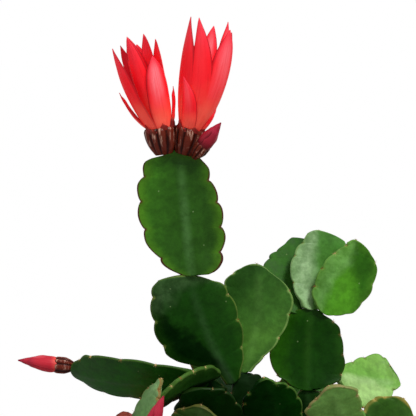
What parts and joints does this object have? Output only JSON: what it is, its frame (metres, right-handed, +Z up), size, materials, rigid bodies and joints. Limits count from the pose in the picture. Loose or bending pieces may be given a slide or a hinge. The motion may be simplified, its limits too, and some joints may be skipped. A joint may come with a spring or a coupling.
{
  "type": "potted easter cactus",
  "caption": "Leafless forest cactus of flat scalloped green segments in a plain clay pot of soil, with open red flowers and closed buds on the tips.",
  "frame": {"origin": "centre of the pot's underside, on the surface that the pot stands on", "axes": "+Z up along the pot's axis, +X to the plant's right and -Y to its front, the side that the flowers are seen from"},
  "size_m": [0.146, 0.11, 0.2465],
  "materials": {
    "clay": "matte",
    "soil": "matte",
    "wood": "matte",
    "segment": "satin",
    "ovary": "satin",
    "petal": "satin",
    "stamen": "satin",
    "bud": "satin"
  },
  "bodies": {
    "root": {"bud_long_left": "bud", "bud_red": "bud", "bud_round": "bud", "bud_top": "bud", "ovary_left": "ovary", "ovary_right": "ovary", "petal_left_1": "petal", "petal_left_2": "petal", "petal_left_3": "petal", "petal_left_4": "petal", "petal_left_5": "petal", "petal_left_6": "petal", "petal_left_7": "petal", "petal_left_8": "petal", "petal_left_9": "petal", "petal_right_1": "petal", "petal_right_2": "petal", "petal_right_3": "petal", "petal_right_4": "petal", "petal_right_5": "petal", "petal_right_6": "petal", "petal_right_7": "petal", "petal_right_8": "petal", "petal_right_9": "petal", "pot": "clay", "segment_back_left": "segment", "segment_back_right": "segment", "segment_bottom_right": "segment", "segment_centre": "segment", "segment_centre_left": "segment", "segment_cross": "segment", "segment_far_right": "segment", "segment_front_left": "segment", "segment_front_low": "segment", "segment_front_right": "segment", "segment_left_edge": "segment", "segment_left_long": "segment", "segment_left_riser": "segment", "segment_left_small": "segment", "segment_middle_left": "segment", "segment_middle_right": "segment", "segment_right_back": "segment", "segment_right_bright": "segment", "segment_right_dark": "segment", "segment_right_low": "segment", "segment_right_pale": "segment", "segment_right_riser": "segment", "segment_top": "segment", "soil": "soil", "stamens_left": "stamen", "stamens_right": "stamen", "stem_back": "wood", "stem_centre": "wood", "stem_front_left": "wood", "stem_front_right": "wood", "stem_left": "wood", "stem_right": "wood", "style_left": "stamen", "style_right": "stamen"}
  },
  "joints": []
}
